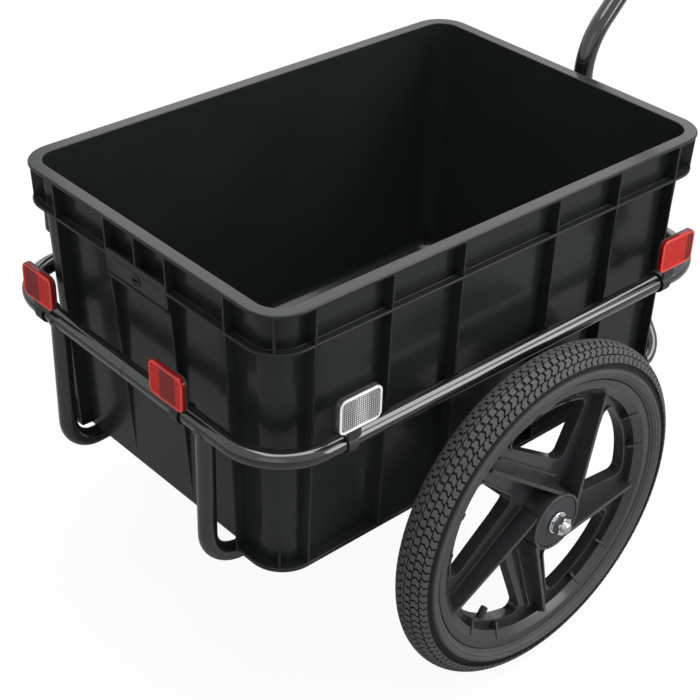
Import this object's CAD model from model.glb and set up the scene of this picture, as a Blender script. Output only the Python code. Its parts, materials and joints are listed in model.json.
"""Looks of a cargo bike trailer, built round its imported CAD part.

Shapes are worked out in millimetres, with X = 0 at the crate's middle, Y to the trailer's left and
Z = 0 on the ground. mesh_object puts them into the row frame, in metres."""
import json
import math

import bmesh
import bpy
import numpy as np
from mathutils import Matrix, Vector


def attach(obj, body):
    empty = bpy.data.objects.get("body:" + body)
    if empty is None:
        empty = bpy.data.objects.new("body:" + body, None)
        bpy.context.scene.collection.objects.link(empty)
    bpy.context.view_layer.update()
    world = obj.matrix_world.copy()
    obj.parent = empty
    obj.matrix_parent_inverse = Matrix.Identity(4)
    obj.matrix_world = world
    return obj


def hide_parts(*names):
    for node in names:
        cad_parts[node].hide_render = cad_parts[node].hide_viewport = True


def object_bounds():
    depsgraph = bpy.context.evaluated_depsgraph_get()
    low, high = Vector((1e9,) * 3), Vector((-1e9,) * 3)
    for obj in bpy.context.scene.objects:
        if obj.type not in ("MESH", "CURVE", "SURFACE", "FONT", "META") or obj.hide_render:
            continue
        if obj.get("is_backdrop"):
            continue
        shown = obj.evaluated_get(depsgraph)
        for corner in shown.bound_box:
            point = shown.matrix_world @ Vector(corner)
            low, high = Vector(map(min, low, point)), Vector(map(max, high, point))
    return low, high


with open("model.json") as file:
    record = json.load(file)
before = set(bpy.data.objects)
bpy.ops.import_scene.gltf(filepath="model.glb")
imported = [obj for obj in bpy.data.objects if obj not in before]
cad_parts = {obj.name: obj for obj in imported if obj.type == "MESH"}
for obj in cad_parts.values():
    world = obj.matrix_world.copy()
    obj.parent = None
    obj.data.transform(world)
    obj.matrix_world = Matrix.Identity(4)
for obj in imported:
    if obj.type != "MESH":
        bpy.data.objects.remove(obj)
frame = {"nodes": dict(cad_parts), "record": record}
cad_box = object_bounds()
MM = 0.001
TAU = 2 * math.pi

# Sizes of the CAD part
CRATE_X = -392.8587  # the crate's middle in the row frame
AXLE_X, AXLE_HEIGHT = 15.0, 194.061
WHEEL_TRACK_HALF = 256.0
GAP = 0.3
CRATE_BOTTOM, CRATE_HEIGHT = 222.671, 300.0
RIM_TOP = CRATE_BOTTOM + CRATE_HEIGHT
RAIL_HEIGHT = RIM_TOP - 147.0
RAIL_REAR_X, RAIL_FRONT_X, RAIL_HALF_WIDTH = -311.0, 304.0, 218.0
RAIL_CORNER = 64.0
TUBE_RADIUS = 9.5
UNDER_TUBE_HEIGHT, LEG_TOP = 213.2, RAIL_HEIGHT - 4.0
LEG_REAR_Y, LEG_FRONT_Y, STRUT_TOP_Y, STRUT_FOOT_X = 120.0, 165.0, 75.0, 314.0
LEG_REAR_BEND, LEG_FRONT_BEND = 36.0, 26.0
BEAD, BEAD_SPREAD, BEAD_DROP, BEAD_RIPPLE, BEAD_WAVES = 1.5, 1.03, 1.02, 0.12, 9
AXLE_BORE, AXLE_TUBE_RADIUS, AXLE_TUBE_HALF = 6.6, 9.85, 214.0
CORNER_SIGNS = ((1, 1), (-1, 1), (-1, -1), (1, -1))


# Meshes

def mesh_object(name, points, faces, sharp=40):
    """Points in millimetres and faces, a list of index arrays, become one object in metres."""
    mesh = bpy.data.meshes.new(name)
    co = np.array(points, np.float32)
    co[:, 0] += CRATE_X
    co *= MM
    loops = np.concatenate([f.ravel() for f in faces]).astype(np.int32)
    sizes = np.concatenate([np.full(len(f), f.shape[1]) for f in faces])
    starts = np.concatenate([[0], np.cumsum(sizes)[:-1]]).astype(np.int32)
    mesh.vertices.add(len(co))
    mesh.vertices.foreach_set("co", co.ravel())
    mesh.loops.add(len(loops))
    mesh.loops.foreach_set("vertex_index", loops)
    mesh.polygons.add(len(sizes))
    mesh.polygons.foreach_set("loop_start", starts)
    mesh.update(calc_edges=True)
    mesh.validate()
    mesh.shade_smooth()
    mesh.set_sharp_from_angle(angle=math.radians(sharp))
    obj = bpy.data.objects.new(name, mesh)
    bpy.context.scene.collection.objects.link(obj)
    return obj


def outward(obj):
    """Every closed piece of the mesh gets its faces turned outwards."""
    work = bmesh.new()
    work.from_mesh(obj.data)
    bmesh.ops.recalc_face_normals(work, faces=work.faces)
    work.to_mesh(obj.data)
    work.free()
    obj.data.update()


def grid_faces(rows, columns, close_rows=False):
    """Quads of a grid of points kept row by row. Each row closes on itself; the rows may too."""
    r, c = np.meshgrid(np.arange(rows if close_rows else rows - 1), np.arange(columns), indexing="ij")
    r1, c1 = (r + 1) % rows, (c + 1) % columns
    quads = np.stack([r * columns + c, r * columns + c1, r1 * columns + c1, r1 * columns + c], -1)
    return quads.reshape(-1, 4)


class Shell:
    """Points and faces that grow as closed pieces are joined to them."""

    def __init__(self):
        self.points, self.quads, self.tris, self.count = [], [], [], 0

    def add(self, points, quads=None, tris=None):
        """Takes in points, and faces whose indices count from the first of them."""
        points = np.asarray(points, float).reshape(-1, 3)
        if quads is not None:
            self.quads.append(quads + self.count)
        if tris is not None:
            self.tris.append(tris + self.count)
        self.points.append(points)
        self.count += len(points)
        return self

    def arrays(self):
        """All points, quads and triangles, each as one array, or None where there are no such faces."""
        quads = np.concatenate(self.quads) if self.quads else None
        tris = np.concatenate(self.tris) if self.tris else None
        return np.concatenate(self.points), quads, tris

    def join(self, *others):
        """Takes in the pieces of other shells."""
        for other in others:
            self.add(*other.arrays())
        return self

    def moved(self, move):
        """A copy whose points have gone through a move."""
        points, quads, tris = self.arrays()
        return Shell().add(move(points), quads, tris)

    def at(self, x=0.0, y=0.0, z=0.0):
        """A copy shifted by x, y and z."""
        return self.moved(lambda points: points + (x, y, z))

    def build(self, name, sharp=40):
        """The shell as one Blender object, with edges above the sharp angle kept sharp."""
        points, quads, tris = self.arrays()
        return mesh_object(name, points, [f for f in (quads, tris) if f is not None], sharp)


def fan(centre, ring, flip):
    """Triangles from a centre point's index to a closed ring of indices."""
    after = np.roll(ring, -1)
    pair = (after, ring) if flip else (ring, after)
    return np.stack([np.full(len(ring), centre), *pair], -1)


def tube_between(rings, ends=None):
    """A closed body through rings of equal size, [ring, point, xyz]. Its two end rings are filled
    by fans from their middles, or from the two points that are given."""
    rings = np.asarray(rings, float)
    count, around = rings.shape[:2]
    if ends is None:
        ends = rings[[0, -1]].mean(1)
    first = np.arange(around)
    last = first + (count - 1) * around
    tris = np.concatenate([fan(count * around, first, True), fan(count * around + 1, last, False)])
    return Shell().add(np.concatenate([rings.reshape(-1, 3), ends]), grid_faces(count, around), tris)


def band_of(rings):
    """A closed band through rings of equal size, [ring, point, xyz]: the last meets the first."""
    rings = np.asarray(rings, float)
    return Shell().add(rings, grid_faces(*rings.shape[:2], close_rows=True))


def polar(angle):
    """The unit vector, or vectors, at an angle in the plane."""
    return np.stack([np.cos(angle), np.sin(angle)], -1)


def circle(steps):
    """A unit circle as evenly spaced points."""
    return polar(np.arange(steps) / steps * TAU)


def level(outline, height):
    """A flat outline as points at one height."""
    return np.c_[outline, np.full(len(outline), height)]


def unit(vectors):
    """Vectors divided by their lengths."""
    return vectors / np.maximum(np.linalg.norm(vectors, axis=-1, keepdims=True), 1e-9)


def rings_of(rows, steps):
    """A ring about Z for each [radius, height] row; a radius may also be one for each angle."""
    return np.array([level(np.broadcast_to(radius, steps)[:, None] * circle(steps), height)
                     for radius, height in rows])


def ring_of(profile, steps):
    """A closed [radius, height] profile turned about Z: each point moves round a circle."""
    return band_of(rings_of(profile, steps))


def spindle(profile, steps):
    """An open [radius, height] profile from the axis to the axis, turned about Z."""
    return tube_between(rings_of(profile[1:-1], steps), [(0, 0, profile[0][1]), (0, 0, profile[-1][1])])


def eased(profile, radius, steps=3):
    """A closed outline with each corner cut back and carried round as a quadratic arc:
    (1 - t)^2 a + 2 t (1 - t) corner + t^2 b, between the two cuts a and b."""
    profile = np.asarray(profile, float)
    radius = np.broadcast_to(np.asarray(radius, float), (len(profile),))

    def cut_back(other):
        way = other - profile
        length = np.linalg.norm(way, axis=1, keepdims=True)
        return profile + unit(way) * np.minimum(radius[:, None], 0.45 * length)

    a, b = cut_back(np.roll(profile, 1, 0)), cut_back(np.roll(profile, -1, 0))
    t = np.linspace(0, 1, steps + 1)[None, :, None]
    arc = (1 - t) ** 2 * a[:, None] + 2 * t * (1 - t) * profile[:, None] + t ** 2 * b[:, None]
    return arc.reshape(-1, profile.shape[1])


def sleeve(inner, outer, low, high, ease, around, steps=3):
    """A hollow cylinder: a rectangle of two radii and two heights, its corners eased, turned about Z."""
    return ring_of(eased([(inner, low), (outer, low), (outer, high), (inner, high)], ease, steps), around)


def mirrored(half):
    """A list of [radius, height] rows, then the same rows in reverse with their heights negated."""
    return half + [(radius, -height) for radius, height in half][::-1]


def rounded_path(corners, radii, steps=14):
    """Straight runs through the corners, each corner a circular arc of its radius: the centre
    plus start cos(t) plus side sin(t), where start and side stand at right angles."""
    corners = np.asarray(corners, float)
    out = [corners[:1]]
    for before, corner, after, radius in zip(corners, corners[1:], corners[2:], radii):
        back, ahead = unit(before - corner), unit(after - corner)
        turn = math.pi - math.acos(np.clip(back @ ahead, -1, 1))
        centre = corner + unit(back + ahead) * radius / math.cos(turn / 2)
        start = corner + back * radius * math.tan(turn / 2) - centre
        side = radius * unit(-back - start * (-back @ start) / (start @ start))
        t = np.linspace(0, turn, steps + 1)[:, None]
        out.append(centre + start * np.cos(t) + side * np.sin(t))
    return np.concatenate([*out, corners[-1:]])


def bar(path, radius, sides=40, ease=0.6):
    """A round tube: a circle carried along a path with its frame turned as little as it can. Its
    two ends are turned in by a small rounding."""
    first, last = unit(path[1] - path[0]), unit(path[-2] - path[-1])
    nudge = np.array([[0.0], [0.3 * ease], [ease]])
    path = np.concatenate([path[0] + first * nudge, path[1:-1], path[-1] + last * nudge[::-1]])
    size = np.full(len(path), float(radius))
    size[[0, -1]] -= ease
    size[[1, -2]] -= 0.3 * ease
    step = unit(np.diff(path, axis=0))
    tangent = unit(np.concatenate([step[:1], step[:-1] + step[1:], step[-1:]]))
    up = np.array([0.0, 0.0, 1.0]) if abs(tangent[0][2]) < 0.9 else np.array([1.0, 0.0, 0.0])
    turn = circle(sides)
    rings = []
    for place, way, reach in zip(path, tangent, size):
        up = unit(up - way * (up @ way))
        rings.append(place + reach * (turn[:, :1] * np.cross(way, up) + turn[:, 1:] * up))
    return tube_between(np.array(rings)[:, ::-1])


def plate(outline, low, high, ease=0.6):
    """A flat outline raised from low to high. Its edges are quarter circles: near a face the
    outline moves inwards along the mean of the normals that meet at each corner."""
    outline = np.asarray(outline, float)
    after, before = np.roll(outline, -1, 0), np.roll(outline, 1, 0)
    if (outline[:, 0] * after[:, 1] - after[:, 0] * outline[:, 1]).sum() <= 0:
        return plate(outline[::-1], low, high, ease)
    along = unit(after - outline) + unit(outline - before)
    normal = unit(along[:, ::-1] * (1, -1))
    angle = np.linspace(0, math.pi / 2, 3)
    insets = ease * np.concatenate([1 - np.sin(angle), 1 - np.cos(angle)])
    heights = np.concatenate([low + ease * (1 - np.cos(angle)), high - ease * (1 - np.sin(angle))])
    return tube_between([level(outline - normal * i, h) for i, h in zip(insets, heights)])


def rounded_rectangle(half_x, half_y, radius, steps=10):
    """A rectangle whose corners are quarter circles, as one ring of points."""
    t = np.linspace(0, math.pi / 2, steps + 1)
    inner = np.array([half_x - radius, half_y - radius])
    return np.concatenate([inner * sign + radius * polar(t + corner * math.pi / 2)
                           for corner, sign in enumerate(CORNER_SIGNS)])


# Turns of points that were drawn about Z or raised along it

def along_y(points):
    """Local Z comes to point along Y: (x, y, z) goes to (x, z, -y)."""
    return points[:, [0, 2, 1]] * (1, 1, -1)


def along_x(points):
    """Local Z comes to point along X: (x, y, z) goes to (z, y, -x)."""
    return points[:, [2, 1, 0]] * (1, 1, -1)


def across_x(points):
    """A plate drawn in YZ and raised along X: (x, y, z) goes to (z, x, y)."""
    return points[:, [2, 0, 1]]


def standing(points):
    """A plate drawn in XY and raised along Z stands up: (x, y, z) goes to (x, -z, y)."""
    return points[:, [0, 2, 1]] * (1, -1, 1)


def turned_z(points, angle):
    """Points turned about Z: x cos - y sin, x sin + y cos."""
    c, s = math.cos(angle), math.sin(angle)
    x, y, z = points.T
    return np.stack([x * c - y * s, x * s + y * c, z], -1)


# Frame tubes

def rail(side):
    """Half of the upper rail: a tube bent round two corners, from the rear seam to the front one."""
    seam, edge = side * GAP / 2, side * RAIL_HALF_WIDTH
    corners = [(x, y, RAIL_HEIGHT) for x, y in (
        (RAIL_REAR_X, seam), (RAIL_REAR_X, edge), (RAIL_FRONT_X, edge), (RAIL_FRONT_X, seam))]
    return bar(rounded_path(corners, [RAIL_CORNER, RAIL_CORNER]), TUBE_RADIUS)


def long_tube(side):
    """One tube, bent into a rear leg, a run under the crate and a front strut."""
    corners = [(x, side * y, z) for x, y, z in (
        (RAIL_REAR_X, LEG_REAR_Y, LEG_TOP), (RAIL_REAR_X, LEG_REAR_Y, UNDER_TUBE_HEIGHT),
        (STRUT_FOOT_X, LEG_FRONT_Y, UNDER_TUBE_HEIGHT), (RAIL_FRONT_X, STRUT_TOP_Y, LEG_TOP))]
    return bar(rounded_path(corners, [LEG_REAR_BEND, LEG_FRONT_BEND]), TUBE_RADIUS)


def weld(x, y):
    """A weld bead where an upright tube meets the rail. A circle, dropped on two sides by the drop
    times r |sin t|, carries a small round section of radius bead (1 + ripple sin(waves t))."""
    t = np.arange(72) / 72 * TAU
    cos, sin = TUBE_RADIUS * np.cos(t), TUBE_RADIUS * np.sin(t)
    ring = np.stack([x - BEAD_SPREAD * cos, y + BEAD_SPREAD * sin, RAIL_HEIGHT - BEAD_DROP * np.abs(sin)], -1)
    size = BEAD * (1 + BEAD_RIPPLE * np.sin(BEAD_WAVES * t))
    way = unit(np.roll(ring, -1, 0) - np.roll(ring, 1, 0))
    out = unit(np.cross(way, (0.0, 0.0, 1.0)))
    up = np.cross(out, way)
    turn = circle(8)[None]
    section = turn[..., :1] * out[:, None] + turn[..., 1:] * up[:, None]
    return band_of(ring[:, None] + size[:, None, None] * section)


def axle_tube():
    """The cross tube that the axle runs in."""
    tube = sleeve(AXLE_BORE, AXLE_TUBE_RADIUS, -AXLE_TUBE_HALF, AXLE_TUBE_HALF, 0.5, 48, 2)
    return tube.moved(along_y).at(AXLE_X, 0, AXLE_HEIGHT)


# Crate

CRATE_HALF = (300.0, 202.5)
TAPER = (13.0, 6.0)
CORNER = 38.0
RIB_DEPTH, WALL = 12.0, 2.5
LEDGE_BOTTOM, LEDGE_TOP = 256.0, 259.0
RIM_BOTTOM = 296.0
BASE_TOP = 5.0
RECESS_HALF, RECESS_DEPTH, RECESS_TOP = 132.0, 12.0, LEDGE_BOTTOM - 21.0
SIDE_RIBS, END_RIB, RECESSED_RIB = (65.0, 156.0, 248.0), 134.0, 48.0
RIB_WIDTH = 2.6
RIB_SHY, RIB_SINK = 0.15, 1.2  # how far a rib stays inside the envelope and reaches into the wall
GRIP_HOLE_HEIGHT, GRIP_HOLE_RADIUS = LEDGE_BOTTOM - 7.5, 4.5


def crate_half(height, inset=0.0):
    """Half length and width at a height: the rim's, less the inset and a taper towards the foot."""
    fall = 1 - height / CRATE_HEIGHT
    return CRATE_HALF[0] - TAPER[0] * fall - inset, CRATE_HALF[1] - TAPER[1] * fall - inset


def recess_face(height):
    """How far an end reaches in its middle, where the foot and the ribs fall back."""
    return CRATE_HALF[0] - (TAPER[0] + RECESS_DEPTH) * (1 - height / CRATE_HEIGHT)


def crate_outline(height, inset, steps):
    """The crate's outline at a height, moved inwards by the inset, corners included."""
    ring = rounded_rectangle(*crate_half(height, inset), max(CORNER - inset, 1.5), steps)
    return level(ring, CRATE_BOTTOM + height)


def foot_outline(height, inset, steps):
    """The crate's outline with its two ends set back in the middle."""
    ring = crate_outline(height, inset, steps)
    wide = crate_half(height, inset)[0]
    low = min(wide, recess_face(height) - min(inset, 1.0))
    x = np.array([wide, low, low, wide])
    y = np.array([RECESS_HALF + 0.5, RECESS_HALF, -RECESS_HALF, -RECESS_HALF - 0.5])
    recess = level(np.stack([-x, y], -1), CRATE_BOTTOM + height)
    half = 2 * (steps + 1)
    return np.concatenate([ring[:half], recess, ring[half:], recess * (-1, -1, 1)])


def crate_band(profile, steps, outline=crate_outline):
    """A closed band round the crate: each [inset, height] point follows the crate's outline."""
    return band_of([outline(height, inset, steps) for inset, height in profile])


def crate_floor(inset, low, high):
    """A flat floor from low to high, its outline moved inwards by the inset."""
    return tube_between([crate_outline(height, inset, 14) for height in (low, high)])


def upright_rib(at, on_side, sign, heights, recessed=False):
    """A drafted rib: an eased section from inside the wall out to the envelope, at each height."""
    half = RIB_WIDTH / 2
    rings = []
    for height in heights:
        envelope = crate_half(height)[1 if on_side else 0] - RIB_SHY
        face = recess_face(height) - RIB_SHY if recessed else envelope
        back = envelope - RIB_DEPTH - RIB_SINK
        section = [(-half - 0.3, back), (-half, face), (half, face), (half + 0.3, back)]
        flat = eased(section, [0, 0.75, 0.75, 0])
        across, out = at + flat[:, 0], flat[:, 1] * sign
        plan = np.stack([across, out] if on_side else [out, across], -1)
        rings.append(level(plan, CRATE_BOTTOM + height))
    return tube_between(rings)


def corner_rib(sx, sy):
    """The short rib at 45 degrees between the ledge and the rim, rounded on its outer edge."""
    back, face = CORNER - RIB_DEPTH - RIB_SINK, CORNER - 0.2
    flat = eased([(back, -1.5), (face, -1.25), (face, 1.25), (back, 1.5)], [0, 0.7, 0.7, 0])
    ring = turned_z(level(flat, 0.0), math.atan2(sy, sx))
    rings = []
    for height in (LEDGE_TOP - 1, RIM_BOTTOM + 1):
        half_x, half_y = crate_half(height, CORNER)
        rings.append(ring + (sx * half_x, sy * half_y, CRATE_BOTTOM + height))
    return tube_between(rings)


def corner_blade(sx, sy):
    """The thin blade that rises from the foot at each corner and runs back to the wall."""
    inner, top = 18.0, BASE_TOP + 36
    side = [(inner, 3.0), (CORNER - 0.6, 3.0), (CORNER - 0.6, BASE_TOP), (CORNER - RIB_DEPTH - 0.5, top),
            (inner, top)]
    half_x, half_y = crate_half(0, CORNER)
    blade = plate(side, -1.25, 1.25, 0.5).moved(standing)
    return blade.moved(lambda p: turned_z(p, math.atan2(sy, sx))).at(sx * half_x, sy * half_y, CRATE_BOTTOM)


def grip_plate():
    """The plate of a handle, in the YZ plane, with one round hole. Rays from the hole's middle
    reach the plate's rounded edge, so plate and hole share their angles."""
    low, high, half, ease = LEDGE_BOTTOM - 21, LEDGE_TOP + 6, 1.7, 0.8
    outer = rounded_rectangle(47.6, (high - low) / 2, 3.5, 6) + (0, (high + low) / 2 - GRIP_HOLE_HEIGHT)
    inner = GRIP_HOLE_RADIUS * unit(outer)
    layers = [(outer, -half, ease), (outer, 0.3 * ease - half, 0.3 * ease), (outer, ease - half, 0),
              (outer, half - ease, 0), (outer, half - 0.3 * ease, 0.3 * ease), (outer, half, ease),
              (outer, half, ease + 0.4), (inner, half, -0.7 * ease - 0.4), (inner, half, -0.7 * ease),
              (inner, half - 0.7 * ease, 0), (inner, 0.7 * ease - half, 0), (inner, -half, -0.7 * ease),
              (inner, -half, -0.7 * ease - 0.4), (outer, -half, ease + 0.4)]
    rings = [level(outline - unit(outline) * inset, x) for outline, x, inset in layers]
    return band_of(rings).moved(across_x).at(z=GRIP_HOLE_HEIGHT)


def grip(sign):
    """A handle's plate with its lip and the raised ring round its hole, leaned with the end wall."""
    lip = plate(rounded_rectangle(47.2, 1.7, 1.2, 4), -1.0, 3.2, 0.8).moved(across_x)
    ring = sleeve(GRIP_HOLE_RADIUS + 0.2, 6.8, -1.0, 2.6, 0.5, 40, 2).moved(along_x)
    pivot = LEDGE_BOTTOM - 9
    reach = crate_half(pivot)[0] - 1.75

    def leaned(points):
        x, y, z = points.T
        return np.stack([sign * (x + reach + TAPER[0] / CRATE_HEIGHT * (z - pivot)), y, z + CRATE_BOTTOM], -1)

    return grip_plate().join(lip.at(z=LEDGE_BOTTOM - 19.2), ring.at(z=GRIP_HOLE_HEIGHT)).moved(leaned)


def crate():
    """Bands for rim, wall, ledge, the line on it, the bead below it and the foot, two floors, and
    the ribs, corner webs and handles."""
    inner = RIB_DEPTH + WALL
    rim = [(inner - 0.1, RIM_BOTTOM - 2), (0.0, RIM_BOTTOM), (0.0, CRATE_HEIGHT), (inner, CRATE_HEIGHT)]
    wall = [(RIB_DEPTH, 1.0), (RIB_DEPTH, 296.0), (inner, 298.0), (inner, 290.0), (inner + 1.5, 150.0),
            (inner + 2.8, 14.0), (inner + 3.6, 9.0), (inner + 6.2, 5.6), (inner + 11, 4.1), (inner + 14, 1.0)]
    ledge = [(13.0, LEDGE_BOTTOM), (0.05, LEDGE_BOTTOM), (0.05, LEDGE_TOP), (13.0, LEDGE_TOP + 0.6)]
    line = [(7.0, LEDGE_TOP - 0.6), (7.0, LEDGE_TOP + 1.0), (8.3, LEDGE_TOP + 1.0), (8.3, LEDGE_TOP - 0.6)]
    bead = [(RIB_DEPTH + 1, LEDGE_BOTTOM - 4.2), (RIB_DEPTH - 1.5, LEDGE_BOTTOM - 4.0),
            (RIB_DEPTH - 1.5, LEDGE_BOTTOM - 2.6), (RIB_DEPTH + 1, LEDGE_BOTTOM - 2.4)]
    base = [(18.0, 0.0), (0.9, 0.0), (0.1, 0.9), (0.1, BASE_TOP), (15.5, BASE_TOP + 0.3)]
    body = Shell().join(
        crate_band(eased(rim, [0, 1.9, 1.9, 1.2], 5), 14), crate_band(wall, 14),
        crate_floor(inner + 6, 0.6, 4.0), crate_band(eased(ledge, [0, 0.8, 0.8, 0]), 12),
        crate_band(eased(line, [0, 0.55, 0.55, 0]), 12), crate_band(eased(bead, [0, 0.5, 0.5, 0]), 12),
        crate_band(eased(base, [0, 0.5, 0.5, 0.8, 0]), 14, foot_outline), crate_floor(16, 0.0, 3.0))
    tall = np.linspace(3.0, RIM_BOTTOM + 1, 6)
    low = np.linspace(3.0, RECESS_TOP, 5)
    for sign in (1, -1):
        for way in (1, -1):
            body.join(*[upright_rib(way * x, True, sign, tall) for x in SIDE_RIBS])
            body.join(upright_rib(way * END_RIB, False, sign, tall),
                      upright_rib(way * RECESSED_RIB, False, sign, low, recessed=True),
                      upright_rib(way * RECESSED_RIB, False, sign, [RECESS_TOP, RIM_BOTTOM + 1]))
        body.join(upright_rib(0.0, False, sign, [LEDGE_TOP - 1, RIM_BOTTOM + 1]), grip(sign))
    for sx, sy in CORNER_SIGNS:
        body.join(corner_rib(sx, sy), corner_blade(sx, sy))
    return body


# Wheel, about its own Z axis

TYRE_CENTRE, TYRE_FULL = 171.4, 22.6  # radius of the section's middle, radius of the section
TREAD_RADIUS, TREAD_DEPTH = 194.0, 2.6
BLOCK_EASE, BLOCK_SINK = 0.35, -0.4
PITCHES = 62
TREAD_BEND = ((0.0, 2.0, 5.0, 8.0, 11.0, 14.0, 17.0, 20.0, 23.0, 26.0, 29.0),
              (0.0, 0.0, 0.22, 0.16, 0.38, 0.32, 0.54, 0.48, 0.70, 0.64, 0.80))
CENTRE_BEND = ((-3.0, 3.0), (-0.10, 0.10))
TREAD_ROWS = ((2.6, 9.4, 0.02, 0.38, 7), (2.6, 9.4, 0.52, 0.88, 7), (10.4, 18.2, 0.14, 0.51, 8),
              (10.4, 18.2, 0.64, 1.01, 8), (19.2, 27.4, 0.00, 0.38, 8), (19.2, 27.4, 0.50, 0.88, 8))
SPOKE_TURN = 72
SPOKE_OFFSET, LOW_RIB_OFFSET = 30.0, 42.0
SPOKE_THICKNESS, LOW_RIB_THICKNESS, GUSSET_THICKNESS = 4.5, 2.2, 2.6
SPOKE_START, RIM_INNER, GUSSET_TURNS = 12.0, 139.0, (15.5, 35.5)
WEB_RADIUS, WEB_HALF = 143.0, 2.5
WINDOW_TURN, WINDOW_SPREAD = -6.0, 53.5
WINDOW_OUTER, WINDOW_TIP, WINDOW_FILLET = 130.5, 60.0, 8.0
COVER_LOW, COVER_HIGH = 25.4, 27.4
WASHER_LOW, NUT_LOW, NUT_HIGH, AXLE_END = 27.7, 30.0, 39.0, 44.0
NUT_ACROSS, NUT_BORE, NUT_CHAMFER = 19.0, 6.1, 1.2
VALVE_TURN = -125


def tyre_point(width, height, angle):
    """A point of the tyre: width mm of arc over the crown, height mm over the base, angle round."""
    lean = width / TYRE_FULL
    reach = TYRE_FULL - TREAD_DEPTH + height
    radius = TYRE_CENTRE + reach * np.cos(lean)
    return np.stack([radius * np.cos(angle), radius * np.sin(angle), reach * np.sin(lean)], -1)


def tread_row(low, high, start, end, bend, side, stations):
    """One row of tread blocks, [pitch, station, section].

    A block lies from low to high mm of arc off the crown, and round the tyre from start to end
    pitches plus bend(width). Its section goes up one flank, over the eased top and down the other,
    and every block is the same but for its angle."""
    width = np.linspace(low, high, stations)
    inset = BLOCK_EASE * PITCHES / (TAU * TREAD_RADIUS)
    share = np.array([start, start, start + inset, end - inset, end, end])
    shoulder = TREAD_DEPTH - BLOCK_EASE
    height = np.array([BLOCK_SINK, shoulder, TREAD_DEPTH, TREAD_DEPTH, shoulder, BLOCK_SINK])
    pitch = np.arange(PITCHES)[:, None, None]
    turn = (pitch + share + np.interp(width, *bend)[:, None]) / PITCHES * TAU
    across = side * np.broadcast_to(width[:, None], turn.shape)
    nudge = side * BLOCK_EASE * (height == TREAD_DEPTH)
    across[:, 0] += nudge
    across[:, -1] -= nudge
    ends = np.array([[0, 1, 4, 5], [1, 2, 3, 4]])
    block = np.concatenate([grid_faces(stations, 6), ends[:, ::-1], ends + (stations - 1) * 6])
    quads = (block + np.arange(PITCHES)[:, None, None] * stations * 6).reshape(-1, 4)
    return Shell().add(tyre_point(across, height, turn), quads)


def tyre():
    """The carcass is a turned profile with raised rings on the walls; the blocks stand on it."""
    base = TYRE_FULL - TREAD_DEPTH
    lean = np.radians(np.linspace(0, 90, 19))
    crown = [(TYRE_CENTRE + base * math.cos(a), base * math.sin(a)) for a in lean]
    wall = [(171.3, 21.4), (170.9, 22.5), (169.6, 22.55), (168.9, 23.0), (168.2, 22.95), (167.6, 22.2),
            (165.8, 21.6), (165.2, 21.95), (164.6, 21.9), (164.1, 21.1), (161.9, 19.6), (161.5, 18.2),
            (160.0, 17.5), (158.9, 15.0), (158.6, 14.0), (153.0, 13.9), (152.9, 11.0)]
    inside = [(TYRE_CENTRE, 19.2), (TYRE_CENTRE + 18, 9.5), (TYRE_CENTRE + 19.4, 0)]
    half = crown[:-1] + wall + inside
    body = ring_of(half + [(r, -a) for r, a in half[1:-1]][::-1], 352)
    for side, shift in ((1, 0.0), (-1, 0.5)):
        for low, high, start, end, stations in TREAD_ROWS:
            body.join(tread_row(low, high, start + shift, end + shift, TREAD_BEND, side, stations))
    for start in (0.0, 0.5):
        body.join(tread_row(-1.7, 1.7, start, start + 0.38, CENTRE_BEND, 1, 3))
    return body


def window(turn, steps=7):
    """One opening: a radial side, the rim's arc and a slanted side, joined by three fillets.

    A fillet beside the arc has its middle at the arc's radius less its own, and as far from
    the straight side as its radius; the one at the tip lies on the bisector of the two sides."""
    start, spread = math.radians(turn + WINDOW_TURN), math.radians(WINDOW_SPREAD)
    middle = WINDOW_OUTER - WINDOW_FILLET
    tip, far = WINDOW_TIP * polar(start), WINDOW_OUTER * polar(start + spread)
    near_turn = start + math.asin(WINDOW_FILLET / middle)
    slant = unit(tip - far)
    normal = np.array([-slant[1], slant[0]])
    facing = math.atan2(normal[1], normal[0])
    swing = math.acos((normal @ far + WINDOW_FILLET) / middle)
    far_turn = min((facing - swing, facing + swing),
                   key=lambda a: abs((a - start - spread + math.pi) % TAU - math.pi))
    far_turn = start + (far_turn - start) % TAU
    between = math.acos(np.clip(-slant @ polar(start), -1, 1)) / 2
    tip_middle = tip + unit(polar(start) - slant) * WINDOW_FILLET / math.sin(between)
    back = math.atan2(-normal[1], -normal[0])
    side = start - math.pi / 2

    def fillet(centre, low, high):
        return centre + WINDOW_FILLET * polar(np.linspace(low, high, steps + 1))

    return np.concatenate([
        fillet(middle * polar(near_turn), side, near_turn),
        WINDOW_OUTER * polar(np.linspace(near_turn, far_turn, 13)[1:-1]),
        fillet(middle * polar(far_turn), far_turn, far_turn + (back - far_turn) % TAU),
        fillet(tip_middle, back, back + (side - back) % TAU)])


def window_lip(turn):
    """A low wall that follows a window's edge: its outline moved outwards by the wall's thickness."""
    wall, low, high = 2.4, -9.0, 5.0
    edge = window(turn)
    way = unit(np.roll(edge, -1, 0) - np.roll(edge, 1, 0))
    out = way[:, ::-1] * (1, -1)
    section = eased([(0.02, low), (wall, low), (wall, high), (0.02, high)], 0.6, 2)
    return band_of([level(edge + out * shift, height) for shift, height in section])


def upright(outline, thickness, angle, offset, ease):
    """A rib: an outline in [distance, height] stood along a direction, offset from the axis."""
    rib = plate(outline, -thickness / 2, thickness / 2, ease).moved(standing).at(0, -offset)
    return rib.moved(lambda p: turned_z(p, math.radians(angle)))


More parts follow.
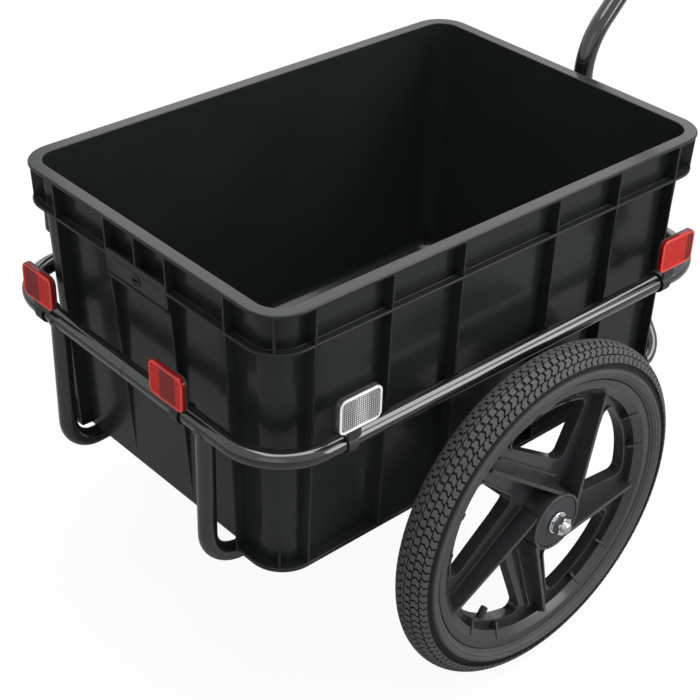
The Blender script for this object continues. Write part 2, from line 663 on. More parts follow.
def wheel_moulding():
    """A turned rim and hub, and for each spoke a high rib, a low rib, a window's lip and two small
    gussets at the rim. The flat web between them comes from a cut disc."""
    half = eased([(152.5, 13.9), (158.5, 14.5), (158.5, 17.0), (150.0, 17.0), (RIM_INNER, 10.0)],
                 [0.3, 0.5, 1.1, 1.2, 2.5])
    hub = eased([(13.6, -23.5), (16.6, -23.5), (16.6, -25.0), (30.1, -25.0), (30.1, -28.0), (33.0, -28.0),
                 (33.0, 28.0), (30.1, 28.0), (30.1, 25.0), (16.6, 25.0), (16.6, 14.6), (13.6, 14.6),
                 (13.6, -14.6), (13.6, -20)], [0, 0, 0, 0, 0.6, 0.8, 0.8, 0.6, 0, 0, 0, 0, 0, 0])
    body = Shell().join(ring_of(np.concatenate([half, half[::-1] * (1, -1)]), 192), ring_of(hub, 96))
    end = math.sqrt(RIM_INNER ** 2 - SPOKE_OFFSET ** 2) + 3
    rib = [(SPOKE_START, 26.0), (end, 16.0), (end, -16.0), (SPOKE_START, -26.0)]
    low_rib = [(14.0, 8.5), (122.0, 6.5), (122.0, -6.5), (14.0, -8.5)]
    gusset = [(133.0, 0.0), (150.0, 0.0), (150.0, 16.4), (147.0, 16.4), (133.0, 8.0)]
    for turn in range(0, 360, SPOKE_TURN):
        body.join(upright(rib, SPOKE_THICKNESS, turn, SPOKE_OFFSET, 0.9),
                  upright(low_rib, LOW_RIB_THICKNESS, turn, LOW_RIB_OFFSET, 0.5), window_lip(turn))
        body.join(*[upright(gusset, GUSSET_THICKNESS, turn + WINDOW_TURN + angle, 0.0, 0.5)
                    for angle in GUSSET_TURNS])
    return body.join(cut_web())


def cut_web():
    """The flat web: a disc with the five windows taken out and every edge bevelled, as triangles."""
    disc = plate(WEB_RADIUS * circle(192), -WEB_HALF, WEB_HALF, 0.4).build("web")
    openings = [tube_between([level(window(turn), height) for height in (-8.0, 8.0)])
                for turn in range(0, 360, SPOKE_TURN)]
    tool = Shell().join(*openings).build("windows")
    outward(disc)
    outward(tool)
    change = disc.modifiers.new("cut", "BOOLEAN")
    change.operation, change.solver, change.object = "DIFFERENCE", "MANIFOLD", tool
    soften = disc.modifiers.new("edge", "BEVEL")
    soften.width, soften.segments, soften.limit_method = 0.9 * MM, 3, "ANGLE"
    soften.angle_limit = math.radians(60)
    baked = bpy.data.meshes.new_from_object(disc.evaluated_get(bpy.context.evaluated_depsgraph_get()))
    co = np.zeros(len(baked.vertices) * 3)
    baked.vertices.foreach_get("co", co)
    baked.calc_loop_triangles()
    tris = np.zeros(len(baked.loop_triangles) * 3, np.int32)
    baked.loop_triangles.foreach_get("vertices", tris)
    for obj in (disc, tool):
        bpy.data.objects.remove(obj)
    return Shell().add(co.reshape(-1, 3) / MM - (CRATE_X, 0, 0), None, tris.reshape(-1, 3))


def on_wheel(side):
    """Moves wheel pieces to their axle: local Z points outwards and local Y up."""
    def move(points):
        x, y, z = points.T
        return np.stack([AXLE_X - side * x, side * (WHEEL_TRACK_HALF + z), AXLE_HEIGHT + y], -1)
    return move


def axle_nut():
    """A hexagon with a round bore: its radius is half its width over the cosine of the angle from
    the nearest flat's middle, and its corners are turned down at both faces."""
    sixth = math.pi / 6
    angle = np.arange(96) / 96 * TAU
    hexagon = NUT_ACROSS / 2 / np.cos((angle + sixth) % (2 * sixth) - sixth)
    turned = np.minimum(hexagon, NUT_ACROSS / 2 / math.cos(sixth) - NUT_CHAMFER)
    return ring_of([
        (turned, NUT_LOW), (hexagon, NUT_LOW + NUT_CHAMFER / 2), (hexagon, NUT_HIGH - NUT_CHAMFER / 2),
        (turned, NUT_HIGH), (NUT_BORE + 0.5, NUT_HIGH), (NUT_BORE, NUT_HIGH - 0.5), (NUT_BORE, NUT_LOW + 0.5),
        (NUT_BORE + 0.5, NUT_LOW)], 96)


def threads(low, high, radius, depth=0.45, pitch=1.25):
    """Points of a screw's outline between two heights, one crest to each pitch."""
    count = max(2, int((high - low) / pitch))
    heights = np.linspace(low, high, 2 * count + 1)
    return [(radius - depth * (i % 2), h) for i, h in enumerate(heights)]


def bolt_head(radius, low, high, socket=0.0):
    """A turned head with rounded edges; a socket sinks a round hole in its top."""
    profile = [(0, low), (radius - 0.3, low), (radius, low + 0.3), (radius, high - 0.8),
               (radius - 0.3, high - 0.2), (radius - 0.9, high)]
    sunk = [(socket, high), (socket - 0.3, high - 0.3), (socket - 0.3, high - 2.4), (0, high - 2.8)]
    return spindle(profile + (sunk if socket else [(0, high)]), 48)


def hub_cover():
    """A pressed cover: a thin profile with a rim, a shallow groove and an inner edge, turned."""
    return ring_of([(10.2, COVER_LOW), (29.4, COVER_LOW), (29.5, 26.6), (29.2, 27.1), (28.4, COVER_HIGH),
                    (26.2, COVER_HIGH), (25.8, 27.0), (25.2, 26.9), (24.6, 27.0), (24.2, 27.35),
                    (20.0, 27.3), (14.5, 27.4), (13.9, 27.2), (10.6, 27.2), (10.2, 27.0)], 96)


def axle_washer():
    """A shouldered washer, its inner step through the cover and its flange on it, turned."""
    return ring_of([(AXLE_BORE, 25.6), (9.4, 25.6), (9.5, WASHER_LOW), (12.2, WASHER_LOW), (12.5, 28.0),
                    (12.5, 29.3), (12.1, 29.7), (7.0, 29.7), (AXLE_BORE, 29.4)], 72)


def axle_rod():
    """The rod with a thread at each end: half a profile and its mirror image, turned."""
    end = WHEEL_TRACK_HALF + AXLE_END
    half = [(0, -end), (4.3, -end), (4.8, -end + 0.4), *threads(-end + 1.2, -end + 13, 5.95),
            (5.9, -(WHEEL_TRACK_HALF + 20))]
    return spindle(mirrored(half), 48).moved(along_y).at(AXLE_X, 0, AXLE_HEIGHT)


def valve_cap():
    """A closed cap with fine flutes round it, pointing from the rim to the hub."""
    flute = 1 - 0.035 * (np.cos(18 * np.arange(72) / 72 * TAU) > 0.2)
    rows = [(2.6, 118.2), (3.7, 118.5), (4.05, 119.2), (4.15 * flute, 120.0), (4.2 * flute, 129.0),
            (4.1, 130.6), (3.3, 131.2)]
    cap = tube_between(rings_of(rows, 72)).moved(across_x)
    return cap.moved(lambda p: turned_z(p, math.radians(VALVE_TURN)))


def axle_spacer():
    """A plain sleeve between the cross tube and the wheel's inner bearing."""
    return sleeve(AXLE_BORE, 9.5, -41.7, -25.1, 0.4, 48, 2)


# Reflectors

LENS_BACK, LENS_FRONT = 11.84, 18.8  # distances out from the rail's middle
LENS_HALF_X, LENS_HALF_Z, LENS_CORNER = 26.0, 19.0, 8.0
PRISM_MARGIN, PRISM_CORNER = 3.6, 4.6
PRISM_BASE, PRISM_TIP, PRISM_PIT = -0.62, -0.22, -1.4
TAB_FOOT, TAB_TOP = 7.5, 9.5
REFLECTORS = {  # place on the rail, turn, rise over the rail, shift of the clamp
    "clear_reflector_right": (-224.0, -218.0, 0.0, 44.0, 0.0),
    "clear_reflector_left": (-224.0, 218.0, math.pi, 44.0, 0.0),
    "front_reflector_right": (222.0, -218.0, 0.0, 44.0, 0.0),
    "front_reflector_left": (222.0, 218.0, math.pi, 44.0, 0.0),
    "rear_reflector_right": (-311.0, -86.0, -math.pi / 2, 36.0, 0.0),
    "rear_reflector_left": (-311.0, 127.0, -math.pi / 2, 41.0, -14.5),
}


def lens_block(rows):
    """A block through rounded rectangles, one for each [distance out, inset] row."""
    return tube_between([
        level(rounded_rectangle(LENS_HALF_X - inset, LENS_HALF_Z - inset, LENS_CORNER - inset, 8), out)
        for out, inset in rows])


def lens(rise):
    """A rounded block whose face carries a field of low pyramids inside a plain border."""
    body = lens_block([(LENS_BACK + 2.2, 0.5), (LENS_BACK + 2.6, 0.1), (LENS_FRONT - 1.4, 0.0),
                       (LENS_FRONT - 0.5, 0.35), (LENS_FRONT - 0.05, 1.0), (LENS_FRONT, 1.9),
                       (LENS_FRONT - 0.1, 3.1), (LENS_FRONT - 0.6, 3.4)])
    reach_x, reach_z = LENS_HALF_X - PRISM_MARGIN, LENS_HALF_Z - PRISM_MARGIN
    columns, rows = 18, 13
    dx, dz = reach_x / columns, reach_z / rows
    cx, cz = np.meshgrid(np.linspace(dx - reach_x, reach_x - dx, columns),
                         np.linspace(dz - reach_z, reach_z - dz, rows), indexing="ij")
    out_x, out_z = np.abs(cx) - (reach_x - PRISM_CORNER), np.abs(cz) - (reach_z - PRISM_CORNER)
    inside = ~((out_x > 0) & (out_z > 0) & (np.hypot(out_x, out_z) > PRISM_CORNER))
    centres = level(np.stack([cx[inside], cz[inside]], -1), LENS_FRONT)
    cell = np.array([(-dx, -dz, PRISM_BASE), (dx, -dz, PRISM_BASE), (dx, dz, PRISM_BASE),
                     (-dx, dz, PRISM_BASE), (0, 0, PRISM_TIP), (0, 0, PRISM_PIT)])
    tris = np.array([(0, 1, 4), (1, 2, 4), (2, 3, 4), (3, 0, 4), (1, 0, 5), (2, 1, 5), (3, 2, 5), (0, 3, 5)])
    tris = (tris + np.arange(len(centres))[:, None, None] * len(cell)).reshape(-1, 3)
    return body.add(cell + centres[:, None], None, tris).moved(standing).at(z=rise)


def lens_tray(rise):
    """The black tray behind the lens."""
    rows = [(LENS_BACK, 1.0), (LENS_BACK + 0.4, 0.1), (LENS_BACK + 2.5, 0.0), (LENS_BACK + 2.9, 0.5),
            (LENS_BACK + 2.9, 3.0)]
    return lens_block(rows).moved(standing).at(z=rise)


def reflector_clamp(rise, shift):
    """A band round the rail with a flat tab that stands up behind the reflector."""
    band = sleeve(10.15, 11.85, -6, 6, 0.5, 64, 2)
    low, high = min(-8.0, shift - 6), max(8.0, shift + 6)
    outline = rounded_rectangle((high - low) / 2, (rise + TAB_TOP - TAB_FOOT) / 2, 2.5, 5)
    tab = plate(outline, 9.8, 11.5, 0.4).moved(standing)
    return band.moved(along_x).at(shift).join(tab.at((high + low) / 2, 0, (rise + TAB_TOP + TAB_FOOT) / 2))


# Drawbar, hitch and leg

SOCKET_X, SOCKET_BOTTOM, SOCKET_LENGTH = 326.53, RAIL_HEIGHT - 36.0, 76.0
SCREW_HEIGHT = SOCKET_BOTTOM + SOCKET_LENGTH - 18.0
DRAWBAR_RADIUS, DRAWBAR_KNEE, DRAWBAR_TOP, DRAWBAR_END = 11.0, 544.0, 755.0, 985.0
PITCH_X, YAW_X, POST_X = 1021.3, 1057.3, 1097.3
CHEEK_FACES, CHEEK = (12.35, -17.25), 4.9
KNOB_RADIUS, KNOB_LOBES, KNOB_LOW = 19.0, 5, 29.8
BOLT_Y = 25.4
PIN_SEAT = 17.6
LEG_PIVOT = (240.0, 159.667, 177.025)
LEG_REACH = 60.0
LEG_LEAN = math.atan2(LEG_REACH, LEG_PIVOT[2])


def drawbar():
    """One tube: upright in its socket, then up at 45 degrees, then level to the hitch."""
    corners = [(SOCKET_X, 0, SOCKET_BOTTOM + 11.2), (SOCKET_X, 0, DRAWBAR_KNEE),
               (SOCKET_X + DRAWBAR_TOP - DRAWBAR_KNEE, 0, DRAWBAR_TOP), (DRAWBAR_END, 0, DRAWBAR_TOP)]
    return bar(rounded_path(corners, [85.0, 120.0], 24), DRAWBAR_RADIUS, 48, 0.8)


def socket():
    """The sleeve and the boss that carries the clamp screw."""
    tube = sleeve(11.7, 13.5, 0, SOCKET_LENGTH, 0.5, 64).at(SOCKET_X, 0, SOCKET_BOTTOM)
    boss = sleeve(4.4, 9.0, 12.6, 22.5, [0, 0, 0.8, 0.4], 48)
    return tube.join(boss.moved(along_x).at(SOCKET_X, 0, SCREW_HEIGHT))


def stop_pin():
    """A plain pin across the socket, with chamfered ends."""
    pin = spindle(mirrored([(0, -16.5), (2.6, -16.5), (2.95, -16.1)]), 32)
    return pin.moved(along_y).at(SOCKET_X, 0, SOCKET_BOTTOM + 8)


def clamp_knob():
    """A grip of soft lobes on a neck and a screw: its radius falls by 0.08 (1 - cos 5t) of itself."""
    lobe = KNOB_RADIUS * (1 - 0.16 * (1 - np.cos(KNOB_LOBES * np.arange(120) / 120 * TAU)) / 2)
    rows = ((0.80, 0.0), (0.93, 0.6), (1.0, 2.2), (1.0, 9.5), (0.95, 11.8), (0.84, 12.8), (0.66, 13.0),
            (0.52, 12.2), (0.2, 12.0))
    body = tube_between(rings_of([(lobe * share, KNOB_LOW + rise) for share, rise in rows], 120))
    neck = [(0, 22.8), (7.6, 22.8), (8.2, 23.4), (8.6, 26), (9.0, KNOB_LOW + 3), (0, KNOB_LOW + 3)]
    screw = [(0, 11.0), (3.0, 11.0), (3.6, 11.6), *threads(12.2, 22.6, 3.95, 0.35, 1.1), (3.6, 25), (0, 25)]
    return body.join(spindle(neck, 48), spindle(screw, 36)).moved(along_x).at(SOCKET_X, 0, SCREW_HEIGHT)


def fork_plates(length, back=0.0):
    """The two plates of a fork, each a rectangle that ends in a half circle of radius 10."""
    radius = 10.0
    arc = radius * polar(np.linspace(-math.pi / 2, math.pi / 2, 21)) + (length, 0)
    outline = np.concatenate([[(back, -radius)], arc, [(back, radius)]])
    return [plate(outline, low, low + CHEEK, 0.7) for low in CHEEK_FACES]


def hitch_fork():
    """A shank in the drawbar, a block across its end and two upright cheeks."""
    shank = spindle([(0, -45), (7.3, -45), (7.7, -44.4), (7.75, 3.0), (0, 3.0)], 48).moved(along_x)
    block = plate(rounded_rectangle(17.2, 10.0, 1.5, 4), 0.35, 6.3, 0.7).moved(across_x)
    cheeks = [each.moved(standing) for each in fork_plates(36.3, 1.0)]
    return shank.join(block, *cheeks).at(DRAWBAR_END, 0, DRAWBAR_TOP)


def pitch_pin():
    """A pin with a low head at each end, just outside the fork's cheeks."""
    half = 17.3 + GAP
    pin = spindle(mirrored([(0, -half - 4), (5.4, -half - 4), (6.8, -half - 3.2), (7.0, -half - 0.4),
                            (6.7, -half), (3.9, -half)]), 40)
    return pin.moved(along_y).at(PITCH_X, 0, DRAWBAR_TOP)


def knuckle():
    """Two eyes at right angles, joined by a square neck."""
    eye = sleeve(4.5, 10, -12, 12, [0.5, 1.0, 1.0, 0.5], 56)
    neck = plate(rounded_rectangle(6.0, 6.0, 1.2, 4), 8.0, 28.0, 0.2).moved(across_x)
    return eye.moved(along_y).join(eye.at(YAW_X - PITCH_X), neck).at(PITCH_X, 0, DRAWBAR_TOP)


def clamp_half_outline(side):
    """Half a ring with its two ears, as one outline: inside arc, ear, outside arc, ear."""
    inner, outer, split, ear_out, ear_deep = 13.9, 18.2, 0.75, 31.8, 7.6
    opening = math.pi / 2 - math.asin(split / inner)
    reach = math.acos(ear_deep / outer)
    ear = [(split, 1.5 - ear_out), (split + 1.5, -ear_out), (ear_deep - 2.5, -ear_out),
           (ear_deep, 2.5 - ear_out)]
    return np.concatenate([
        inner * polar(np.linspace(opening, -opening, 37)), ear, outer * polar(np.linspace(-reach, reach, 29)),
        [(x, -y) for x, y in ear][::-1]]) * (side, 1)


def seat_clamp_half(side):
    """One half of the seat post clamp; the rear half carries the two tails of the yaw hinge."""
    body = plate(clamp_half_outline(side), -16.95, 16.95)
    if side < 0:
        body.join(*[tail.moved(lambda p: p * (-1, 1, 1)).at(-16.5) for tail in fork_plates(23.5)])
    return body.at(POST_X, 0, DRAWBAR_TOP)


def clamp_bolt(side):
    """A socket screw through the ears, with its nut's low head at the far end."""
    half = 7.75 + GAP
    shank = spindle([(0, -half - 4.9), (4.4, -half - 4.9), (4.9, -half - 4.4), (4.9, -half - 0.4),
                     (4.5, -half), (2.9, -half), (2.9, half), (0, half)], 40)
    bolt = bolt_head(4.9, half, half + 4.9, 2.6).join(shank)
    return bolt.moved(along_x).at(POST_X, side * BOLT_Y, DRAWBAR_TOP)


def quick_pin():
    """A pin with a collar and a mushroom grip."""
    grip_rows = [(6.6, 0.0), (7.0, 0.4), (7.0, 3.4), (6.6, 4.0), (4.4, 5.4), (4.2, 9.0), (5.2, 13.0),
                 (7.6, 15.8), (7.95, 17.0), (7.7, 18.8), (6.2, 19.8), (0, 20.0)]
    profile = [(0, -26.6), (1.6, -26.6), (2.2, -26.3), (3.9, -24.6), (3.95, PIN_SEAT)]
    profile += [(radius, PIN_SEAT + rise) for radius, rise in grip_rows]
    return spindle(profile, 48).at(YAW_X, 0, DRAWBAR_TOP)


def leaned(points):
    """Turns the leg about Y so that its foot goes forward: x cos - z sin, x sin + z cos."""
    c, s = math.cos(LEG_LEAN), math.sin(LEG_LEAN)
    x, y, z = points.T
    return np.stack([x * c - z * s, y, x * s + z * c], -1)


def parking_leg():
    """A straight tube from just over its bolt down into its boot."""
    length = LEG_PIVOT[2] / math.cos(LEG_LEAN) - 5 - 8 * math.sin(LEG_LEAN)
    path = np.array([(0, 0, 8.0), (0, 0, 0.0), (0, 0, -length)])
    return bar(path, 8.0, 40, 0.5).moved(leaned).at(*LEG_PIVOT)


def leg_foot():
    """A ribbed rubber boot with a flat sole."""
    reach = LEG_REACH - 10 * math.tan(LEG_LEAN)
    profile = [(0, 0.0), (13.6, 0.0), (14.4, 0.7), (14.5, 2.4), (13.4, 3.2), (13.4, 4.4), (14.5, 5.2),
               (14.5, 8.4), (13.6, 9.2), (13.6, 10.4), (14.3, 11.2), (13.7, 15.0), (12.0, 19.0), (10.6, 20.0),
               (0, 20.0)]
    return spindle(profile, 56).at(LEG_PIVOT[0] + reach, LEG_PIVOT[1])


def leg_bolt():
    """A bolt through the bracket: a round head, a shank and a low nut."""
    shank = spindle([(0, -15.5), (5.6, -15.5), (6.3, -14.8), (6.3, -12.2), (6.0, -11.7), (3.9, -11.6),
                     (3.9, 12), (0, 12)], 40)
    return bolt_head(6.3, 11.6, 15.5).join(shank).moved(along_y).at(*LEG_PIVOT)


# Finishes

class Nodes:
    """The nodes of a material or of the world, with short ways to add to them."""

    def __init__(self, owner):
        owner.use_nodes = True
        self.tree = owner.node_tree

    def plug(self, socket, value):
        """Links a socket to another node's output, or sets its own value."""
        if isinstance(value, bpy.types.NodeSocket):
            self.tree.links.new(value, socket)
        else:
            socket.default_value = value

    def add(self, kind, output, inputs, operation=None, data_type=None):
        """A new node with its inputs set or linked; gives the output that is asked for."""
        node = self.tree.nodes.new("ShaderNode" + kind)
        if operation:
            node.operation = operation
        if data_type:
            node.data_type = data_type
        for name, value in inputs.items():
            self.plug(node.inputs[name], value)
        return node.outputs[output]

    def math(self, kind, *values):
        """One step of arithmetic on values or outputs."""
        return self.add("Math", 0, dict(enumerate(values)), operation=kind)

    def length(self, a, b):
        """The square root of a squared plus b squared."""
        return self.math("SQRT", self.math("ADD", self.math("MULTIPLY", a, a), self.math("MULTIPLY", b, b)))

    def ramp(self, value, low, high, first=0.0, last=1.0):
        """The first value at low, the last at high, a straight line between, and held outside."""
        return self.add("MapRange", "Result", {
            "Value": value, "From Min": low, "From Max": high, "To Min": first, "To Max": last})

    def mix(self, share, first, second):
        """The first colour at a share of 0 and the second at 1."""
        return self.add("Mix", "Result", {"Factor": share, "A": first, "B": second}, data_type="RGBA")

    def noise(self, scale, detail):
        """Fractal noise on object coordinates."""
        place = self.add("TexCoord", "Object", {})
        return self.add("TexNoise", "Fac", {"Vector": place, "Scale": scale, "Detail": detail})

    def position(self, output="Object"):
        """The x, y and z of the shaded point, in metres on a piece."""
        place = self.tree.nodes.new("ShaderNodeTexCoord").outputs[output]
        split = self.tree.nodes.new("ShaderNodeSeparateXYZ")
        self.plug(split.inputs[0], place)
        return split.outputs


FINISHES = {}


def finish(name, colour, roughness, metallic=0.0, specular=0.5, coat=0.0, grain=0.0, grain_scale=600.0,
           mottle=0.0, mottle_scale=30.0, tint=0.0):
    """A principled finish. A noise n on object coordinates gives roughness + mottle (2n - 1) and
    colour (1 + tint (2n - 1)); a finer noise raises a grain."""
    material = bpy.data.materials.new(name)
    nodes = Nodes(material)
    surface = nodes.tree.nodes["Principled BSDF"].inputs
    for socket_name, value in (
            ("Base Color", (*colour, 1)), ("Roughness", roughness), ("Metallic", metallic),
            ("Specular IOR Level", specular), ("Coat Weight", coat), ("Coat Roughness", 0.08)):
        surface[socket_name].default_value = value
    if mottle:
        noise = nodes.noise(mottle_scale, 5)
        nodes.plug(surface["Roughness"], nodes.ramp(noise, 0.0, 1.0, roughness - mottle, roughness + mottle))
        if tint:
            dark, pale = ((*[min(1, c * share) for c in colour], 1) for share in (1 - tint, 1 + tint))
            nodes.plug(surface["Base Color"], nodes.mix(noise, dark, pale))
    if grain:
        fine = nodes.noise(grain_scale, 3)
        bump = nodes.add("Bump", "Normal", {"Strength": grain, "Distance": 0.0004, "Height": fine})
        nodes.plug(surface["Normal"], bump)
    FINISHES[name] = material


finish("frame_black", (0.008, 0.0085, 0.009), 0.18, specular=0.30, coat=1.0, mottle=0.04, mottle_scale=18,
       grain=0.05, grain_scale=900)
finish("steel", (0.55, 0.56, 0.57), 0.32, metallic=1.0, mottle=0.06)
finish("chrome", (0.80, 0.81, 0.82), 0.10, metallic=1.0)
finish("wheel_moulding", (0.025, 0.026, 0.028), 0.28, specular=0.32, coat=0.35, mottle=0.06, mottle_scale=14,
       grain=0.10, grain_scale=1400)
finish("tyre", (0.056, 0.056, 0.058), 0.54, specular=0.22, mottle=0.06, mottle_scale=25, grain=0.15,
       grain_scale=1500, tint=0.2)
finish("inner_rubber", (0.02, 0.02, 0.02), 0.7, specular=0.3)
finish("valve_cap_black", (0.012, 0.012, 0.012), 0.5, specular=0.4)
finish("hub_cover_grey", (0.030, 0.032, 0.035), 0.40, specular=0.2, mottle=0.05, grain=0.08, grain_scale=1200)
finish("crate_black", (0.0135, 0.0150, 0.0155), 0.24, specular=0.17, coat=0.12, mottle=0.05, mottle_scale=9,
       grain=0.08, grain_scale=700, tint=0.25)
finish("clear_lens", (0.72, 0.73, 0.74), 0.14, metallic=0.2, specular=0.3, coat=0.3)
finish("red_lens", (0.52, 0.050, 0.042), 0.14, specular=0.12, coat=0.2)
finish("clamp_plastic", (0.018, 0.018, 0.019), 0.45, specular=0.4, grain=0.08, grain_scale=1200)
finish("knob_plastic", (0.012, 0.012, 0.0125), 0.42, specular=0.45, grain=0.10, grain_scale=1200)
finish("foot_rubber", (0.018, 0.018, 0.0185), 0.75, specular=0.3, grain=0.12, grain_scale=1200)


def prism_field(name, groove, dull, bright, centre, width):
    """Colours a lens by how deep its face is sunk behind the border, in one bright upright band.

    The depth is the larger of the distances to the side lenses' plane and to the rear ones'. The
    band is where the cosine of x plus 2.5 y, about a centre, is above that of half its width."""
    lean, repeat = 2.5, 112.5
    material = FINISHES[name]
    nodes = Nodes(material)
    x, y, _ = nodes.position()
    side_plane = (RAIL_HALF_WIDTH + LENS_FRONT) * MM
    rear_plane = (CRATE_X + RAIL_REAR_X - LENS_FRONT) * MM
    side = nodes.math("SUBTRACT", nodes.math("ABSOLUTE", y), side_plane)
    front = nodes.math("MAXIMUM", side, nodes.math("SUBTRACT", rear_plane, x))
    across = nodes.math("ADD", x, nodes.math("MULTIPLY", y, lean))
    along = nodes.math("SUBTRACT", across, (CRATE_X + centre) * MM)
    wave = nodes.math("COSINE", nodes.math("MULTIPLY", along, TAU / (repeat * MM)))
    edge = math.cos(math.pi * width / repeat)
    band = nodes.mix(nodes.ramp(wave, edge - 0.1, edge + 0.1), (*dull, 1), (*bright, 1))
    prism = nodes.mix(nodes.ramp(front, -0.56 * MM, -0.44 * MM), (*groove, 1), band)
    surface = nodes.tree.nodes["Principled BSDF"].inputs["Base Color"]
    border = tuple(surface.default_value)
    nodes.plug(surface, nodes.mix(nodes.ramp(front, -0.17 * MM, -0.13 * MM), prism, border))


def shade_grooves(name):
    """Darkens the tyre by how far a point lies from the middle of its round section."""
    nodes = Nodes(FINISHES[name])
    x, y, z = nodes.position()
    along = nodes.math("SUBTRACT", x, (AXLE_X + CRATE_X) * MM)
    rise = nodes.math("SUBTRACT", z, AXLE_HEIGHT * MM)
    out = nodes.math("SUBTRACT", nodes.length(along, rise), TYRE_CENTRE * MM)
    side = nodes.math("SUBTRACT", nodes.math("ABSOLUTE", y), WHEEL_TRACK_HALF * MM)
    top = nodes.ramp(nodes.length(out, side), (TYRE_FULL - TREAD_DEPTH) * MM, (TYRE_FULL - 0.3) * MM)
    crown = nodes.ramp(out, -0.5 * MM, 0.5 * MM)
    tread = nodes.math("SUBTRACT", 1.0, nodes.math("MULTIPLY", crown, nodes.math("SUBTRACT", 1.0, top)))
    surface = nodes.tree.nodes["Principled BSDF"].inputs["Base Color"]
    rubber = surface.links[0].from_socket
    nodes.plug(surface, nodes.mix(tread, (0.003, 0.003, 0.0032, 1), rubber))


shade_grooves("tyre")
prism_field("clear_lens", (0.04, 0.042, 0.045), (0.40, 0.405, 0.41), (0.80, 0.81, 0.82), -814.0, 12.0)
prism_field("red_lens", (0.16, 0.003, 0.002), (0.16, 0.028, 0.026), (0.66, 0.030, 0.022), -44.5, 54.0)


# Assembly

def add(name, shape, body, slot, *nodes, sharp=38):
    """One finished piece: it rides on its body and stands for the CAD nodes that are named."""
    piece = shape.build(name, sharp)
    outward(piece)
    piece.data.set_sharp_from_angle(angle=math.radians(sharp))
    even = piece.modifiers.new("flat_faces_stay_flat", "WEIGHTED_NORMAL")
    even.keep_sharp = True
    piece.data.materials.append(FINISHES[slot])
    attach(piece, body)
    if nodes:
        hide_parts(*nodes)


slot_of = {row["node"]: row["material_slot"] for row in frame["record"]["subparts"]}
for node_name, node in frame["nodes"].items():
    node.data.materials.clear()
    node.data.materials.append(FINISHES[slot_of[node_name]])

for name, side in (("left", 1), ("right", -1)):
    add(f"rail_{name}_tube", rail(side), "frame", "frame_black", f"rail_{name}")
    add(f"long_{name}_tube", long_tube(side), "frame", "frame_black", f"long_tube_{name}")
    add(f"rear_weld_{name}", weld(RAIL_REAR_X, side * LEG_REAR_Y), "frame", "frame_black")
    add(f"front_weld_{name}", weld(RAIL_FRONT_X, side * STRUT_TOP_Y), "frame", "frame_black")
add("axle_cross_tube", axle_tube(), "frame", "frame_black", "axle_tube")
add("axle_shaft", axle_rod(), "frame", "steel", "axle_rod")
add("crate_moulding", crate(), "crate", "crate_black", "crate", sharp=35)

wheel_shape, tyre_shape = wheel_moulding(), tyre()
for name, side in (("right", -1), ("left", 1)):
    move, wheel = on_wheel(side), f"{name}_wheel"
    add(f"wheel_{name}_moulding", wheel_shape.moved(move), wheel, "wheel_moulding", f"wheel_{name}")
    add(f"tyre_{name}_tread", tyre_shape.moved(move), wheel, "tyre", f"tyre_{name}")
    add(f"hub_{name}_cover", hub_cover().moved(move), wheel, "hub_cover_grey", f"hub_cover_{name}")
    add(f"valve_{name}_cap", valve_cap().moved(move), wheel, "valve_cap_black", f"valve_cap_{name}")
    add(f"axle_{name}_washer", axle_washer().moved(move), "frame", "chrome", f"axle_washer_{name}")
    add(f"axle_{name}_nut", axle_nut().moved(move), "frame", "chrome", f"axle_nut_{name}")
    add(f"axle_{name}_spacer", axle_spacer().moved(move), "frame", "steel", f"axle_spacer_{name}")

for name, (x, y, turn, rise, shift) in REFLECTORS.items():
    colour = "clear_lens" if name.startswith("clear") else "red_lens"
    for part, shape, slot, stands_for, sharp in (
            ("lens", lens(rise), colour, [name], 20), ("tray", lens_tray(rise), "clamp_plastic", [], 38),
            ("band", reflector_clamp(rise, shift), "clamp_plastic", [f"{name}_clamp"], 38)):
        shape = shape.moved(lambda p: turned_z(p, turn)).at(x, y, RAIL_HEIGHT)
        add(f"{name}_{part}", shape, "frame", slot, *stands_for, sharp=sharp)

add("drawbar_tube", drawbar(), "drawbar", "frame_black", "drawbar")
add("drawbar_sleeve", socket(), "frame", "frame_black", "drawbar_socket")
add("drawbar_stop", stop_pin(), "frame", "steel", "stop_pin")
add("knob_grip", clamp_knob(), "clamp_knob", "knob_plastic", "clamp_knob")
add("fork_block", hitch_fork(), "hitch_fork", "frame_black", "hitch_fork")
add("fork_pin", pitch_pin(), "hitch_fork", "steel", "pitch_pin")
add("knuckle_block", knuckle(), "knuckle", "frame_black", "knuckle")
add("seat_clamp_rear", seat_clamp_half(-1), "seat_clamp", "frame_black", "seat_clamp_base")
add("seat_clamp_front", seat_clamp_half(1), "seat_clamp", "frame_black", "seat_clamp_cap")
for name, side in (("left", 1), ("right", -1)):
    add(f"seat_clamp_screw_{name}", clamp_bolt(side), "seat_clamp", "steel", f"clamp_bolt_{name}")
add("quick_pin_turned", quick_pin(), "quick_pin", "chrome", "quick_pin")
add("parking_leg_tube", parking_leg(), "parking_leg", "frame_black", "parking_leg")
add("parking_leg_boot", leg_foot(), "parking_leg", "foot_rubber", "leg_foot")
add("leg_hinge_bolt", leg_bolt(), "frame", "steel", "leg_bolt")


# Stage

PHOTO_PIXELS, FOCAL_PIXELS, SENSOR = 700, 1633.7, 36
CAMERA_PLACE = (-1036.2, -1096.9, 748.8)  # from the crate's middle, at the height of its rim


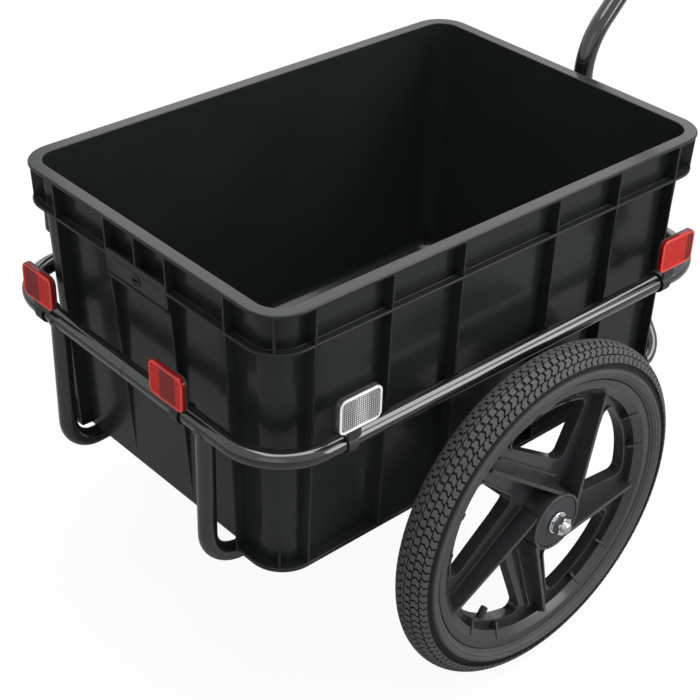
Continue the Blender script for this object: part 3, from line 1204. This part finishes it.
def stage_floor():
    """A pale floor that a camera sees nearly white, with its shadow kept in part; gloss sees it grey."""
    bpy.ops.mesh.primitive_plane_add(size=60, location=(0, 0, 0))
    floor = bpy.context.object
    floor.name = "floor"
    material = bpy.data.materials.new("pale_floor")
    nodes = Nodes(material)
    shader = nodes.tree.nodes["Principled BSDF"]
    path = nodes.tree.nodes.new("ShaderNodeLightPath").outputs
    shader.inputs["Roughness"].default_value = 0.9
    shader.inputs["Specular IOR Level"].default_value = 0.0
    grey = nodes.mix(path["Is Glossy Ray"], (0.82, 0.82, 0.82, 1), (0.30, 0.30, 0.30, 1))
    nodes.plug(shader.inputs["Base Color"], grey)
    glow = nodes.add("Emission", 0, {"Strength": 1.0})
    share = nodes.math("MULTIPLY", path["Is Camera Ray"], 0.94)
    both = nodes.add("MixShader", 0, {"Fac": share, 1: shader.outputs[0], 2: glow})
    nodes.plug(nodes.tree.nodes["Material Output"].inputs["Surface"], both)
    floor.data.materials.append(material)
    floor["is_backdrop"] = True


def world_light():
    """White to the camera, off gloss and through glass; to soft light a sky that is bright overhead
    and dim at the horizon."""
    world = bpy.data.worlds.new("studio")
    bpy.context.scene.world = world
    nodes = Nodes(world)
    sky = nodes.ramp(nodes.position("Generated")["Z"], 0.0, 0.9, 0.30, 0.85)
    path = nodes.tree.nodes.new("ShaderNodeLightPath").outputs
    seen = nodes.math("MAXIMUM", path["Is Camera Ray"], path["Is Glossy Ray"])
    seen = nodes.math("MAXIMUM", seen, path["Is Transmission Ray"])
    strength = nodes.add("Mix", "Result", {"Factor": seen, "A": sky, "B": 1.0}, data_type="FLOAT")
    back = nodes.tree.nodes["Background"].inputs
    back["Color"].default_value = (1, 1, 1, 1)
    nodes.plug(back["Strength"], strength)


def soft_box(name, place, target, size, power):
    """A rectangular lamp that faces its target."""
    lamp = bpy.data.lights.new(name, "AREA")
    lamp.shape, lamp.size, lamp.size_y, lamp.energy = "RECTANGLE", size[0], size[1], power
    obj = bpy.data.objects.new(name, lamp)
    bpy.context.scene.collection.objects.link(obj)
    obj.location = place
    obj.rotation_euler = (Vector(target) - Vector(place)).to_track_quat("-Z", "Y").to_euler()
    obj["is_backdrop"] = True


def camera():
    """The photograph's viewpoint: found by fitting the crate, rail and wheel edges."""
    data = bpy.data.cameras.new("camera")
    data.sensor_width = SENSOR
    data.lens = FOCAL_PIXELS * SENSOR / PHOTO_PIXELS
    data.clip_end = 100
    obj = bpy.data.objects.new("camera", data)
    bpy.context.scene.collection.objects.link(obj)
    forward = Vector((0.5653, 0.6110, -0.5541)).normalized()
    right = Vector((0.7461, -0.6653, 0.0276))
    right = (right - forward * right.dot(forward)).normalized()
    turn = Matrix((right, right.cross(forward), -forward)).transposed()
    place = (Vector(CAMERA_PLACE) + Vector((CRATE_X, 0, RIM_TOP))) * MM
    obj.matrix_world = Matrix.Translation(place) @ turn.to_4x4()
    bpy.context.scene.camera = obj


stage_floor()
world_light()
soft_box("overhead", (-0.5, -0.2, 2.9), (-0.4, 0, 0.3), (2.0, 1.6), 54)
soft_box("rail_light", (1.4, -0.7, 2.9), (-0.4, -0.2, 0.4), (2.4, 1.1), 42)
soft_box("rim_light", (1.7, 2.1, 2.5), (-0.4, 0, 0.5), (2.2, 1.6), 17)
soft_box("left_fill", (-2.6, -1.6, 1.5), (-0.4, 0, 0.3), (1.6, 1.6), 5)
soft_box("right_fill", (1.2, -2.6, 1.3), (-0.4, 0, 0.2), (1.6, 1.6), 44)
camera()
bpy.context.scene.view_settings.view_transform = "Standard"

plain = [[[float(v) for v in corner] for corner in box] for box in (cad_box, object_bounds())]
